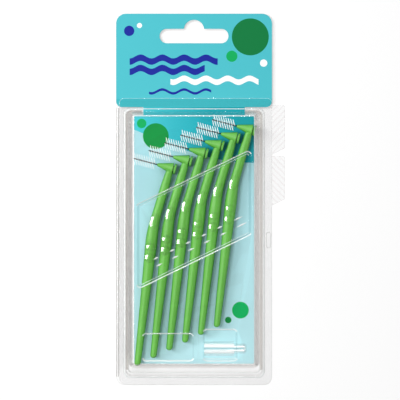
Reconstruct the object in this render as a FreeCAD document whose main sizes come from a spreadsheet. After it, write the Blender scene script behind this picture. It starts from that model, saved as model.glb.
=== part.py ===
import FreeCAD, Part
import math
import os

import Sketcher

# Six angled interdental brushes and a protective cap in a hinged clear pack with a hang card.
# The pack lies on its back: X runs across it, Y up towards the hang slot, Z out of its front face.
# The origin is the middle of the pack's outline, tabs included, on its flat back.

os.makedirs("parts", exist_ok=True)
doc = FreeCAD.newDocument("interdental_brush_pack")

# Driving dimensions, in millimetres and degrees
DRIVING_SIZES = {
    # thermoformed sheet, its rims and its walls
    "sheet_thickness": 0.45,
    "flange_width": 3.3,
    "top_flange_width": 4.55,
    "flange_bottom_radius": 3.9,
    "flange_top_radius": 2.3,
    "rim_width": 1.8,
    "rim_height": 3.2,
    "rim_clearance": 0.5,
    "rim_top_clearance": 1.1,
    "rim_corner_radius": 3.0,
    "step_draft": 5.0,
    "ledge_width": 2.2,
    "ledge_width_bottom": 4.4,
    "ledge_width_top": 1.3,
    "dome_draft": 19.0,
    "dome_corner_radius": 3.2,
    "edge_radius": 0.7,
    "face_rise": 3.5,
    "lid_clearance": 0.3,
    # hinge and pull tabs
    "hinge_radius": 0.7,
    "hinge_clearance": 0.1,
    "hinge_end_clearance": 0.6,
    "tab_reach": 6.0,
    "tab_length": 23.0,
    "tab_slant": 3.0,
    "tab_gap": 0.7,
    "tab_drop": 3.2,
    "tab_corner_radius": 1.2,
    # snap lug on the free edge
    "lug_width": 2.2,
    "lug_length": 7.4,
    "lug_height": 0.7,
    "lug_height_above_bottom": 67.5,
    # nest over the grips, and the two shallower recesses
    "nest_start": 12.0,
    "nest_end": 23.8,
    "nest_margin": 1.9,
    "nest_draft": 12.0,
    "nest_corner_radius": 1.6,
    "groove_end_margin": 3.0,
    "groove_width": 0.9,
    "groove_depth": 1.6,
    "panel_margin": 4.5,
    "panel_width": 23.2,
    "panel_height": 12.2,
    "panel_depth": 1.5,
    "recess_bottom_margin": 1.9,
    "recess_corner_radius": 1.6,
    "hold_width": 15.4,
    "hold_height": 17.0,
    # card
    "card_thickness": 0.4,
    "seat_clearance": 0.05,
    "header_height": 43.5,
    "header_edge_clearance": 0.4,
    "header_top_radius": 4.6,
    "header_bottom_radius": 2.8,
    "card_side_clearance": 2.3,
    "card_end_clearance": 3.85,
    "card_neck_notch": 4.3,
    "card_neck_clearance": 0.4,
    "card_notch_clearance": 0.9,
    "card_corner_radius": 0.8,
    "slot_width": 32.0,
    "slot_height": 6.7,
    "slot_drop": 10.4,
    "slot_arch_radius": 4.7,
    "slot_arch_rise": 2.85,
    # row of brushes
    "brush_step_across": 7.36,
    "brush_step_up": 3.57,
    "brush_side_clearance": 1.15,
    "brush_end_clearance": 3.06,
    "brush_top_clearance": 2.65,
    "head_tilt": 14.5,
    # moulded handle
    "upper_length": 28.2,
    "tail_length": 63.7,
    "upper_lean": 1.9,
    "handle_bend": 9.9,
    "neck_width": 3.1,
    "neck_thickness": 3.0,
    "upper_width": 4.1,
    "upper_thickness": 3.6,
    "grip_width": 5.6,
    "grip_thickness": 4.9,
    "waist_width": 4.8,
    "waist_thickness": 3.9,
    "end_width": 3.0,
    "end_thickness": 2.8,
    # angled head: cone, groove and rear disc
    "cone_reach": 6.2,
    "cone_length": 7.4,
    "cone_tip_diameter": 1.3,
    "cone_rear_diameter": 5.4,
    "head_groove_width": 0.5,
    "head_groove_diameter": 4.0,
    "disc_thickness": 1.0,
    "disc_diameter": 5.0,
    # wire and filaments
    "wire_exposed": 11.85,
    "wire_diameter": 0.5,
    "coat_diameter": 0.8,
    "coat_clearance": 0.02,
    "coat_start": 0.4,
    "coat_end": 0.5,
    "filament_diameter": 5.1,
    "filament_thickness": 0.18,
    "filament_pitch": 1.8,
    # protective cap
    "cap_diameter": 6.8,
    "cap_length": 14.0,
    "cap_wall": 0.45,
    "cap_end_diameter": 4.7,
    "cap_end_length": 5.7,
    "cap_end_radius": 1.4,
    "cap_side_clearance": 5.9,
    "cap_bottom_clearance": 7.8,
}
BRUSH_COUNT = 6
FILAMENTS_PER_TURN = 6
# Where the oval sections stand, as shares of the upper handle's and the tail's length, and how far each
# has changed from one named width and thickness to the next
UPPER_SHARES = (
    (0.03, "neck", "upper", 0),
    (0.16, "neck", "upper", 0.6),
    (0.34, "neck", "upper", 1),
    (0.70, "upper", "grip", 0.1),
    (0.88, "upper", "grip", 0.28),
)
BEND_SHARE = 0.55
TAIL_SHARES = (
    (0.05, "upper", "grip", 0.86),
    (0.12, "upper", "grip", 1),
    (0.19, "grip", "waist", 0.2),
    (0.26, "grip", "waist", 0.6),
    (0.37, "grip", "waist", 1),
    (0.55, "waist", "end", 0.3),
    (0.78, "waist", "end", 0.65),
    (1, "waist", "end", 1),
)
# How many points the smooth oval of a section passes through
OVAL_POINTS = 12
# Turns in degrees: a whole one, a half one, and the quarter ones that lay a round piece along the wire
FULL_TURN = 360
HALF_TURN = 180
TO_TIP = "-90"
TO_REAR = "90"
# How far off its height a flat edge or face may stand, as a share of the sheet's thickness
FLAT_SHARE = 0.01
# How much of half its height an end keeps as its corner radius, so that it is all but round
ROUND_END_SHARE = 0.98
# How much of the tail's flat end the half ball on it covers, so that it stands on one clean circle
END_BALL_SHARE = 0.97

sizes = doc.addObject("Spreadsheet::Sheet", "sizes")
for row, (alias, value) in enumerate(DRIVING_SIZES.items(), start=1):
    sizes.set(f"A{row}", alias)
    sizes.set(f"B{row}", str(value))
    sizes.setAlias(f"B{row}", alias)
doc.recompute()

# Places worked out from the driving dimensions
LAYOUT = {
    # heights above the floor
    "card_base": "sizes.sheet_thickness + sizes.seat_clearance",
    "card_face": "card_base + sizes.card_thickness",
    "front_base": "card_face + sizes.seat_clearance",
    "head_radius": "max(sizes.cone_rear_diameter; sizes.disc_diameter; sizes.grip_thickness;"
                   " sizes.upper_thickness; sizes.filament_diameter) / 2",
    "brush_axis": "card_face + sizes.seat_clearance + head_radius",
    "cap_axis": "card_face + sizes.seat_clearance + max(sizes.cap_diameter; sizes.cap_end_diameter) / 2",
    "nest_floor": "brush_axis"
                  " + max(sizes.grip_thickness; sizes.upper_thickness; sizes.waist_thickness) / 2"
                  " + sizes.lid_clearance + sizes.sheet_thickness",
    "hold_floor": "2 * cap_axis - front_base + sizes.seat_clearance + sizes.lid_clearance"
                  " + sizes.sheet_thickness",
    "ledge_top": "2 * sizes.sheet_thickness + sizes.rim_height + sizes.rim_top_clearance",
    "face": "max(nest_floor; hold_floor) + sizes.face_rise",
    # how far one brush reaches from the crossing of its wire and handle
    "wire_reach": "sizes.cone_reach + sizes.wire_exposed",
    "rear_reach": "sizes.cone_length + sizes.head_groove_width + sizes.disc_thickness - sizes.cone_reach",
    "upper_slope": "sizes.head_tilt + sizes.upper_lean",
    "tail_slope": "upper_slope - sizes.handle_bend",
    "bend_shift": "sizes.upper_length * sin(upper_slope * 1 deg)",
    "bend_drop": "sizes.upper_length * cos(upper_slope * 1 deg)",
    "tail_shift": "bend_shift + sizes.tail_length * sin(tail_slope * 1 deg)",
    "tail_drop": "bend_drop + sizes.tail_length * cos(tail_slope * 1 deg) + sizes.end_width / 2",
    "left_reach": "max(wire_reach * cos(sizes.head_tilt * 1 deg)"
                  " + sizes.filament_diameter / 2 * sin(sizes.head_tilt * 1 deg);"
                  " tail_shift + sizes.end_width / 2)",
    "right_reach": "rear_reach * cos(sizes.head_tilt * 1 deg)"
                   " + sizes.disc_diameter / 2 * sin(sizes.head_tilt * 1 deg)",
    "head_rise": "wire_reach * sin(sizes.head_tilt * 1 deg)"
                 " + sizes.filament_diameter / 2 * cos(sizes.head_tilt * 1 deg)",
    # the pack is sized by the row of brushes that it holds
    "row_width": f"left_reach + right_reach + {BRUSH_COUNT - 1} * sizes.brush_step_across",
    "cavity_width": "row_width + 2 * sizes.brush_side_clearance",
    "rim_inset": "sizes.flange_width + sizes.sheet_thickness + sizes.rim_clearance + sizes.rim_width",
    "pack_width": "cavity_width + 2 * rim_inset",
    "shell_height": "rim_inset + sizes.brush_end_clearance + tail_drop"
                    f" + {BRUSH_COUNT - 1} * sizes.brush_step_up + head_rise + sizes.brush_top_clearance"
                    " + sizes.sheet_thickness + sizes.top_flange_width",
    "header_overlap": "sizes.top_flange_width - sizes.header_edge_clearance",
    "pack_height": "shell_height + sizes.header_height - header_overlap",
    # edges of the pack, of the stepped walls and of the snap rim
    "left": "-(pack_width + sizes.tab_reach) / 2",
    "right": "left + pack_width",
    "middle": "left + pack_width / 2",
    "bottom": "-pack_height / 2",
    "top": "pack_height / 2",
    "shell_top": "bottom + shell_height",
    "step_left": "left + sizes.flange_width",
    "step_right": "right - sizes.flange_width",
    "step_bottom": "bottom + sizes.flange_width",
    "step_top": "shell_top - sizes.top_flange_width",
    "step_run": "(ledge_top - front_base) * tan(sizes.step_draft * 1 deg)",
    "dome_left": "step_left + step_run + sizes.ledge_width",
    "dome_right": "step_right - step_run - sizes.ledge_width",
    "dome_bottom": "step_bottom + step_run + sizes.ledge_width_bottom",
    "dome_top": "step_top - step_run - sizes.ledge_width_top",
    "dome_run": "(face - ledge_top) * tan(sizes.dome_draft * 1 deg)",
    "face_left": "dome_left + dome_run",
    "face_right": "dome_right - dome_run",
    "face_bottom": "dome_bottom + dome_run",
    "rim_gap": "sizes.sheet_thickness + sizes.rim_clearance",
    "cavity_left": "left + rim_inset",
    "cavity_right": "right - rim_inset",
    "cavity_bottom": "bottom + rim_inset",
    "rim_top": "step_top - rim_gap",
    # first brush, nest, card, hinge, tabs and cap
    "brush_x": "cavity_left + sizes.brush_side_clearance + left_reach",
    "brush_y": "cavity_bottom + sizes.brush_end_clearance + tail_drop",
    "row_slope": "sizes.brush_step_up / sizes.brush_step_across",
    "nest_left": "face_left + sizes.nest_margin",
    "nest_right": "face_right - sizes.nest_margin",
    "nest_top_x": "brush_x - sizes.nest_start * sin(upper_slope * 1 deg)",
    "nest_top_y": "brush_y - sizes.nest_start * cos(upper_slope * 1 deg)",
    "nest_end_x": "brush_x - bend_shift - sizes.nest_end * sin(tail_slope * 1 deg)",
    "nest_end_y": "brush_y - bend_drop - sizes.nest_end * cos(tail_slope * 1 deg)",
    "groove_start": "sizes.nest_start + sizes.groove_end_margin",
    "groove_end": "sizes.nest_end - sizes.groove_end_margin",
    "recess_bottom": "face_bottom + sizes.recess_bottom_margin",
    "panel_left": "face_left + sizes.panel_margin",
    "header_bottom": "shell_top - header_overlap",
    "insert_half": "cavity_width / 2 - sizes.card_side_clearance",
    "neck_half": "insert_half - sizes.card_neck_notch",
    "insert_top": "rim_top - sizes.rim_width - sizes.card_notch_clearance",
    "insert_bottom": "cavity_bottom + sizes.card_end_clearance",
    "slot_middle": "top - sizes.slot_drop",
    "hinge_x": "left + sizes.hinge_radius",
    "hinge_top": "header_bottom - sizes.hinge_end_clearance",
    "hinge_bottom": "bottom + sizes.flange_bottom_radius",
    "front_left": "left + 2 * sizes.hinge_radius + sizes.hinge_clearance",
    "front_tab_top": "shell_top - sizes.tab_drop",
    "back_tab_top": "front_tab_top - sizes.tab_length - sizes.tab_gap",
    "tab_edge": "right + sizes.tab_reach",
    "lug_middle": "right - sizes.flange_width / 2",
    "cap_x": "cavity_right - sizes.cap_side_clearance - sizes.cap_end_length - sizes.cap_length",
    "cap_y": "cavity_bottom + sizes.cap_bottom_clearance + sizes.cap_diameter / 2",
    "hold_left": "cap_x - sizes.lid_clearance",
}
layout = doc.addObject("App::VarSet", "layout")
for name in LAYOUT:
    layout.addProperty("App::PropertyFloat", name)
for name, expression in LAYOUT.items():
    layout.setExpression(name, expression)
doc.recompute()


def number(expression):
    """Value of an expression that uses the sheet and the layout."""
    return float(sizes.evalExpression(expression))


def bind(feature, **expressions):
    """Binds properties of a feature to expressions; a double underscore stands for a dot."""
    for path, expression in expressions.items():
        feature.setExpression(path.replace("__", "."), expression)
    return feature


def origin_plane(body, role):
    """One of a body's own origin planes."""
    return next(plane for plane in body.Origin.OriginFeatures if plane.Role == role)


def new_body(label):
    """An empty body that carries a node's name."""
    return doc.addObject("PartDesign::Body", label)


def new_sketch(body, name, height="0", role="XY_Plane"):
    """A sketch on one of the body's origin planes, lifted along the plane's normal."""
    sketch = body.newObject("Sketcher::SketchObject", name)
    sketch.AttachmentSupport = (origin_plane(body, role), [""])
    sketch.MapMode = "FlatFace"
    return bind(sketch, AttachmentOffset__Base__z=height)


def pin_point(sketch, element, point, place, expressions):
    """Holds a sketch point at bound distances from the sketch's origin."""
    for axis, value, expression in zip(("DistanceX", "DistanceY"), place, expressions):
        index = sketch.addConstraint(Sketcher.Constraint(axis, -1, 1, element, point, value))
        sketch.setExpression(f"Constraints[{index}]", expression)


def draw_circle(sketch, x, y, radius):
    """A circle with its centre and radius bound."""
    place = (number(x), number(y))
    circle = Part.Circle(FreeCAD.Vector(*place), FreeCAD.Vector(0, 0, 1), number(radius))
    element = sketch.addGeometry(circle)
    pin_point(sketch, element, 3, place, (x, y))
    index = sketch.addConstraint(Sketcher.Constraint("Radius", element, number(radius)))
    sketch.setExpression(f"Constraints[{index}]", radius)


def draw_outline(sketch, corners):
    """A closed outline. Each corner is (x, y), or (x, y, radius) where it is rounded."""
    places = [FreeCAD.Vector(number(corner[0]), number(corner[1])) for corner in corners]
    marks, ends, arcs = [], [], []
    for index, corner in enumerate(corners):
        here = places[index]
        back = (places[index - 1] - here).normalize()
        ahead = (places[(index + 1) % len(places)] - here).normalize()
        mark = sketch.addGeometry(Part.Point(here), True)
        pin_point(sketch, mark, 1, (here.x, here.y), corner[:2])
        marks.append(mark)
        if len(corner) == 2:
            ends.append((here, here))
            arcs.append(None)
            continue
        radius = number(corner[2])
        half_turn = back.getAngle(ahead) / 2
        reach = radius / math.tan(half_turn)
        inward = (back + ahead).normalize() * math.hypot(reach, radius)
        start = here + back * reach
        end = here + ahead * reach
        through = here + inward * (1 - radius / inward.Length)
        ends.append((start, end))
        arc = sketch.addGeometry(Part.Arc(start, through, end))
        arcs.append((arc, back.cross(ahead).z < 0, corner[2]))
    sides = []
    for index in range(len(corners)):
        start = ends[index][1]
        end = ends[(index + 1) % len(corners)][0]
        sides.append(sketch.addGeometry(Part.LineSegment(start, end)))
    for index, arc in enumerate(arcs):
        before, after = sides[index - 1], sides[index]
        if arc is None:
            sketch.addConstraint(Sketcher.Constraint("Coincident", before, 2, marks[index], 1))
            sketch.addConstraint(Sketcher.Constraint("Coincident", after, 1, marks[index], 1))
            continue
        element, turns_left, radius = arc
        first, last = (1, 2) if turns_left else (2, 1)
        sketch.addConstraint(Sketcher.Constraint("Tangent", before, 2, element, first))
        sketch.addConstraint(Sketcher.Constraint("Tangent", element, last, after, 1))
        sketch.addConstraint(Sketcher.Constraint("PointOnObject", marks[index], 1, before))
        sketch.addConstraint(Sketcher.Constraint("PointOnObject", marks[index], 1, after))
        bound = sketch.addConstraint(Sketcher.Constraint("Radius", element, number(radius)))
        sketch.setExpression(f"Constraints[{bound}]", radius)


def rectangle(left, right, bottom, top, radius):
    """Corners of an upright rectangle with round corners."""
    return [(left, bottom, radius), (right, bottom, radius), (right, top, radius), (left, top, radius)]


def pad(body, sketch, length, draft=None):
    """A pad; its walls lean inwards by the draft angle."""
    feature = body.newObject("PartDesign::Pad", f"{sketch.Name}_pad")
    feature.Profile = sketch
    bind(feature, Length=length)
    if draft:
        bind(feature, TaperAngle=f"-{draft}")
    doc.recompute()
    return feature


def pocket(body, sketch, depth, draft=None, upwards=False):
    """A pocket, checked to have cut something."""
    before = body.Shape.Volume
    feature = body.newObject("PartDesign::Pocket", f"{sketch.Name}_pocket")
    feature.Profile = sketch
    feature.Reversed = upwards
    bind(feature, Length=depth)
    if draft:
        bind(feature, TaperAngle=f"-{draft}")
    doc.recompute()
    if not body.Shape.Volume < before:
        raise RuntimeError(f"{feature.Name} cuts nothing")
    return feature


def place(x, y, z, yaw="0", pitch="0", roll="0"):
    """Expression for a placement."""
    point = f"create(<<vector>>; {x}; {y}; {z})"
    turn = f"create(<<rotation>>; {yaw}; {pitch}; {roll})"
    return f"create(<<placement>>; {point}; {turn})"


def build_card():
    """T-shaped card: a wide header with a hang slot, a neck between the rim's ends, and an insert."""
    body = new_body("header_card")
    outline = new_sketch(body, "card_outline", "layout.card_base")
    right_half = [
        ("layout.insert_half", "layout.insert_bottom", "sizes.card_corner_radius"),
        ("layout.insert_half", "layout.insert_top", "sizes.card_corner_radius"),
        ("layout.neck_half", "layout.insert_top"),
        ("layout.neck_half", "layout.header_bottom"),
        ("layout.pack_width / 2", "layout.header_bottom", "sizes.header_bottom_radius"),
        ("layout.pack_width / 2", "layout.top", "sizes.header_top_radius"),
    ]
    corners = [(f"layout.middle + {across}", *rest) for across, *rest in right_half]
    corners += [(f"layout.middle - {across}", *rest) for across, *rest in reversed(right_half)]
    draw_outline(outline, corners)
    pad(body, outline, "sizes.card_thickness")
    slot = new_sketch(body, "slot_outline", "layout.card_face")
    draw_outline(slot, rectangle(
        "layout.middle - sizes.slot_width / 2", "layout.middle + sizes.slot_width / 2",
        "layout.slot_middle - sizes.slot_height / 2", "layout.slot_middle + sizes.slot_height / 2",
        f"sizes.slot_height / 2 * {ROUND_END_SHARE}"))
    pocket(body, slot, "sizes.card_thickness")
    arch = new_sketch(body, "slot_arch", "layout.card_face")
    draw_circle(arch, "layout.middle", "layout.slot_middle + sizes.slot_arch_rise",
                "sizes.slot_arch_radius")
    pocket(body, arch, "sizes.card_thickness")


def flange_outline(left, tab_top):
    """Corners of a flange with a pull tab on its free edge, slanted at its lower end."""
    tab_end = f"{tab_top} - sizes.tab_length"
    return [
        (left, "layout.bottom", "sizes.flange_bottom_radius"),
        ("layout.right", "layout.bottom", "sizes.flange_bottom_radius"),
        ("layout.right", tab_end),
        ("layout.tab_edge", f"{tab_end} + sizes.tab_slant", "sizes.tab_corner_radius"),
        ("layout.tab_edge", tab_top, "sizes.tab_corner_radius"),
        ("layout.right", tab_top),
        ("layout.right", "layout.shell_top", "sizes.flange_top_radius"),
        (left, "layout.shell_top", "sizes.flange_top_radius"),
    ]


def rim_outline(inset):
    """Corners of the snap rim's C shape, open at the top where the card's neck passes."""
    outer_left = f"layout.step_left + layout.rim_gap + {inset}"
    outer_right = f"layout.step_right - layout.rim_gap - {inset}"
    outer_bottom = f"layout.step_bottom + layout.rim_gap + {inset}"
    outer_top = f"layout.rim_top - {inset}"
    inner_left = f"layout.cavity_left - {inset}"
    inner_right = f"layout.cavity_right + {inset}"
    inner_bottom = f"layout.cavity_bottom - {inset}"
    inner_top = f"layout.rim_top - sizes.rim_width + {inset}"
    gap_left = f"layout.middle - layout.neck_half - sizes.card_neck_clearance - {inset}"
    gap_right = f"layout.middle + layout.neck_half + sizes.card_neck_clearance + {inset}"
    outer_radius = f"sizes.rim_corner_radius - {inset}"
    inner_radius = f"sizes.rim_corner_radius / 2 + {inset}"
    return [
        (gap_left, outer_top),
        (outer_left, outer_top, outer_radius),
        (outer_left, outer_bottom, outer_radius),
        (outer_right, outer_bottom, outer_radius),
        (outer_right, outer_top, outer_radius),
        (gap_right, outer_top),
        (gap_right, inner_top),
        (inner_right, inner_top, inner_radius),
        (inner_right, inner_bottom, inner_radius),
        (inner_left, inner_bottom, inner_radius),
        (inner_left, inner_top, inner_radius),
        (gap_left, inner_top),
    ]


def build_back_shell():
    """Flat back half: a flange with a pull tab, a hollow snap rim and the bead of the living hinge."""
    body = new_body("back_shell")
    plate = new_sketch(body, "back_plate")
    draw_outline(plate, flange_outline("layout.left", "layout.back_tab_top"))
    pad(body, plate, "sizes.sheet_thickness")
    rim = new_sketch(body, "snap_rim")
    draw_outline(rim, rim_outline("0"))
    pad(body, rim, "sizes.sheet_thickness + sizes.rim_height")
    hollow = new_sketch(body, "rim_hollow")
    draw_outline(hollow, rim_outline("sizes.sheet_thickness"))
    pocket(body, hollow, "sizes.rim_height", upwards=True)
    bead = new_sketch(body, "hinge_bead", "-layout.hinge_top", "XZ_Plane")
    draw_circle(bead, "layout.hinge_x", "sizes.hinge_radius", "sizes.hinge_radius")
    pad(body, bead, "layout.hinge_top - layout.hinge_bottom")


def along_brush(start, end, index, sideways):
    """Corners of a strip that follows the gap after a brush, on both sides of the handle's bend."""
    across = f"layout.brush_x + {index} * sizes.brush_step_across + sizes.brush_step_across / 2"
    up = f"layout.brush_y + {index} * sizes.brush_step_up + sizes.brush_step_up / 2"
    bend_x = f"{across} - layout.bend_shift"
    bend_y = f"{up} - layout.bend_drop"
    start_x = f"{across} - {start} * sin(layout.upper_slope * 1 deg)"
    start_y = f"{up} - {start} * cos(layout.upper_slope * 1 deg)"
    end_x = f"{bend_x} - {end} * sin(layout.tail_slope * 1 deg)"
    end_y = f"{bend_y} - {end} * cos(layout.tail_slope * 1 deg)"
    radius = f"{sideways} * {ROUND_END_SHARE}"
    return [
        (f"{start_x} - {sideways}", start_y, radius),
        (f"{bend_x} - {sideways}", bend_y),
        (f"{end_x} - {sideways}", end_y, radius),
        (f"{end_x} + {sideways}", end_y, radius),
        (f"{bend_x} + {sideways}", bend_y),
        (f"{start_x} + {sideways}", start_y, radius),
    ]


def nest_line(x, from_x, from_y):
    """Height of a line that climbs like the row of brushes, at a given place across."""
    return f"{from_y} + ({x} - {from_x}) * layout.row_slope"


def build_front_shell():
    """Front half, formed from one sheet: stepped walls, a nest over the grips and two recesses."""
    body = new_body("front_shell")
    step = new_sketch(body, "step_outline", "layout.front_base")
    draw_outline(step, rectangle("layout.step_left", "layout.step_right", "layout.step_bottom",
                                 "layout.step_top", "sizes.dome_corner_radius"))
    pad(body, step, "layout.ledge_top - layout.front_base", "sizes.step_draft")
    dome = new_sketch(body, "dome_outline", "layout.ledge_top")
    draw_outline(dome, rectangle("layout.dome_left", "layout.dome_right", "layout.dome_bottom",
                                 "layout.dome_top", "sizes.dome_corner_radius"))
    pad(body, dome, "layout.face - layout.ledge_top", "sizes.dome_draft")
    nest = new_sketch(body, "nest_outline", "layout.face")
    draw_outline(nest, [
        (edge, nest_line(edge, f"layout.nest_{line}_x", f"layout.nest_{line}_y"),
         "sizes.nest_corner_radius")
        for edge, line in (("layout.nest_left", "end"), ("layout.nest_right", "end"),
                           ("layout.nest_right", "top"), ("layout.nest_left", "top"))])
    pocket(body, nest, "layout.face - layout.nest_floor", "sizes.nest_draft")
    panel = new_sketch(body, "panel_outline", "layout.face")
    draw_outline(panel, rectangle("layout.panel_left", "layout.panel_left + sizes.panel_width",
                                  "layout.recess_bottom", "layout.recess_bottom + sizes.panel_height",
                                  "sizes.recess_corner_radius"))
    pocket(body, panel, "sizes.panel_depth", "sizes.nest_draft")
    hold = new_sketch(body, "hold_outline", "layout.face")
    draw_outline(hold, rectangle("layout.hold_left", "layout.hold_left + sizes.hold_width",
                                 "layout.recess_bottom", "layout.recess_bottom + sizes.hold_height",
                                 "sizes.recess_corner_radius"))
    pocket(body, hold, "layout.face - layout.hold_floor", "sizes.nest_draft")
    grooves = new_sketch(body, "groove_outlines", "layout.nest_floor")
    for index in range(BRUSH_COUNT - 1):
        draw_outline(grooves, along_brush("layout.groove_start", "layout.groove_end", index,
                                          "sizes.groove_width / 2"))
    solid = pocket(body, grooves, "sizes.groove_depth")
    rims = body.newObject("PartDesign::Fillet", "face_edges")
    face_height = number("layout.face")
    rims.Base = (solid, [f"Edge{index}" for index, edge in enumerate(solid.Shape.Edges, start=1)
                         if lies_at(edge, face_height)])
    bind(rims, Radius="sizes.edge_radius")
    doc.recompute()
    sheet = body.newObject("PartDesign::Thickness", "formed_sheet")
    base_height = number("layout.front_base")
    sheet.Base = (rims, [f"Face{index}" for index, face in enumerate(rims.Shape.Faces, start=1)
                         if lies_at(face, base_height)])
    sheet.Reversed = True
    bind(sheet, Value="sizes.sheet_thickness")
    doc.recompute()
    flange = new_sketch(body, "front_flange", "layout.front_base")
    draw_outline(flange, flange_outline("layout.front_left", "layout.front_tab_top"))
    draw_outline(flange, rectangle(
        "layout.step_left + sizes.sheet_thickness", "layout.step_right - sizes.sheet_thickness",
        "layout.step_bottom + sizes.sheet_thickness", "layout.step_top - sizes.sheet_thickness",
        "sizes.dome_corner_radius - sizes.sheet_thickness"))
    pad(body, flange, "sizes.sheet_thickness")
    lug = new_sketch(body, "snap_lug", "layout.front_base + sizes.sheet_thickness")
    lug_bottom = "layout.bottom + sizes.lug_height_above_bottom"
    draw_outline(lug, rectangle(
        "layout.lug_middle - sizes.lug_width / 2", "layout.lug_middle + sizes.lug_width / 2",
        lug_bottom, f"{lug_bottom} + sizes.lug_length", f"sizes.lug_width / 2 * {ROUND_END_SHARE}"))
    pad(body, lug, "sizes.lug_height")


def lies_at(shape, height):
    """Whether an edge or face lies flat at a height."""
    box = shape.BoundBox
    slack = number("sizes.sheet_thickness") * FLAT_SHARE
    return abs(box.ZMin - height) < slack and abs(box.ZMax - height) < slack


def build_cap():
    """Clear cap for a brush head: an open tube that narrows to a closed, rounded end."""
    body = new_body("protective_cap")
    profile = new_sketch(body, "cap_profile")
    length = "sizes.cap_length + sizes.cap_end_length"
    draw_outline(profile, [
        ("0", "sizes.cap_diameter / 2 - sizes.cap_wall"),
        ("sizes.cap_length - sizes.cap_wall", "sizes.cap_diameter / 2 - sizes.cap_wall"),
        ("sizes.cap_length - sizes.cap_wall", "sizes.cap_end_diameter / 2 - sizes.cap_wall"),
        (f"{length} - sizes.cap_wall", "sizes.cap_end_diameter / 2 - sizes.cap_wall",
         "sizes.cap_end_radius - sizes.cap_wall"),
        (f"{length} - sizes.cap_wall", "0"),
        (length, "0"),
        (length, "sizes.cap_end_diameter / 2", "sizes.cap_end_radius"),
        ("sizes.cap_length", "sizes.cap_end_diameter / 2"),
        ("sizes.cap_length", "sizes.cap_diameter / 2"),
        ("0", "sizes.cap_diameter / 2"),
    ])
    turned = body.newObject("PartDesign::Revolution", "cap_turned")
    turned.Profile = profile
    turned.ReferenceAxis = (profile, ["H_Axis"])
    turned.Angle = FULL_TURN
    bind(body, Placement=place("layout.cap_x", "layout.cap_y", "layout.cap_axis"))
    doc.recompute()


# The handle's bend, seen from the crossing of the wire and the handle
BEND_X = "-sizes.upper_length * sin(sizes.upper_lean * 1 deg)"
BEND_Y = "-sizes.upper_length * cos(sizes.upper_lean * 1 deg)"


def along_tail(share):
    """Place of a point down the tail, as a share of its length."""
    turn = "(sizes.upper_lean - sizes.handle_bend) * 1 deg"
    down = f"sizes.tail_length * {share}"
    return f"{BEND_X} - {down} * sin({turn})", f"{BEND_Y} - {down} * cos({turn})"


def brush_place(index):
    """Placement of one brush of the row, which is modelled round the crossing of its wire and handle."""
    return place(f"layout.brush_x + {index} * sizes.brush_step_across",
                 f"layout.brush_y + {index} * sizes.brush_step_up", "layout.brush_axis",
                 yaw="-sizes.head_tilt")


def oval(name, x, y, lean, width, thickness):
    """Smooth oval section across the handle, square to its run."""
    across = FreeCAD.Vector(number(width) / 2, 0, 0)
    upright = FreeCAD.Vector(0, number(thickness) / 2, 0)
    turns = [math.radians(FULL_TURN * index / OVAL_POINTS) for index in range(OVAL_POINTS)]
    curve = Part.BSplineCurve()
    curve.interpolate([across * math.cos(turn) + upright * math.sin(turn) for turn in turns], True)
    section = doc.addObject("Part::Feature", name)
    section.Shape = Part.Wire(curve.toShape())
    return bind(section, Placement=place(x, y, "0", f"-({lean})", "0", TO_REAR))


def handle_section(name, x, y, lean, start, end, share):
    """Section whose width and thickness lie between two named ones."""
    width, thickness = (f"sizes.{start}_{kind} + (sizes.{end}_{kind} - sizes.{start}_{kind}) * {share}"
                        for kind in ("width", "thickness"))
    return oval(name, x, y, lean, width, thickness)


def handle_sections():
    """Oval sections down the upper handle, round the bend and along the tail."""
    upper = "sizes.upper_lean"
    tail = "sizes.upper_lean - sizes.handle_bend"
    sections = []
    for index, (down, start, end, share) in enumerate(UPPER_SHARES):
        x, y = f"{BEND_X} * {down}", f"{BEND_Y} * {down}"
        sections.append(handle_section(f"upper_oval_{index}", x, y, upper, start, end, share))
    sections.append(handle_section(
        "bend_oval", BEND_X, BEND_Y, f"{upper} - sizes.handle_bend / 2", "upper", "grip", BEND_SHARE))
    for index, (down, start, end, share) in enumerate(TAIL_SHARES):
        x, y = along_tail(down)
        sections.append(handle_section(f"tail_oval_{index}", x, y, tail, start, end, share))
    return sections


def build_moulding():
    """One moulding: a lofted handle with a ball end, and a cone, groove and disc on the wire's axis."""
    loft = doc.addObject("Part::Loft", "handle_run")
    loft.Sections = handle_sections()
    loft.Solid = True
    loft.Ruled = True
    end = doc.addObject("Part::Sphere", "handle_end")
    end.Angle1 = 0
    bind(end, Radius=f"min(sizes.end_width; sizes.end_thickness) / 2 * {END_BALL_SHARE}",
         Placement=place(*along_tail(1), "0", "sizes.handle_bend - sizes.upper_lean", "0", TO_REAR))
    cone = bind(doc.addObject("Part::Cone", "head_cone"), Radius1="sizes.cone_rear_diameter / 2",
                Radius2="sizes.cone_tip_diameter / 2", Height="sizes.cone_length",
                Placement=place("sizes.cone_length - sizes.cone_reach", "0", "0", pitch=TO_TIP))
    groove = bind(doc.addObject("Part::Cylinder", "head_groove"),
                  Radius="sizes.head_groove_diameter / 2", Height="layout.rear_reach",
                  Placement=place("0", "0", "0", pitch=TO_REAR))
    disc = bind(doc.addObject("Part::Cylinder", "head_disc"), Radius="sizes.disc_diameter / 2",
                Height="sizes.disc_thickness",
                Placement=place("layout.rear_reach - sizes.disc_thickness", "0", "0", pitch=TO_REAR))
    moulding = doc.addObject("Part::MultiFuse", "handle_moulding")
    moulding.Shapes = [loft, end, cone, groove, disc]
    return moulding


def build_handle(brush, index, moulding, bore):
    """One brush's handle: the shared moulding with the bore that takes the wire."""
    handle = doc.addObject("Part::Cut", f"{brush}_handle")
    handle.Base = moulding
    handle.Tool = bore
    bind(handle, Placement=brush_place(index))


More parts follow.
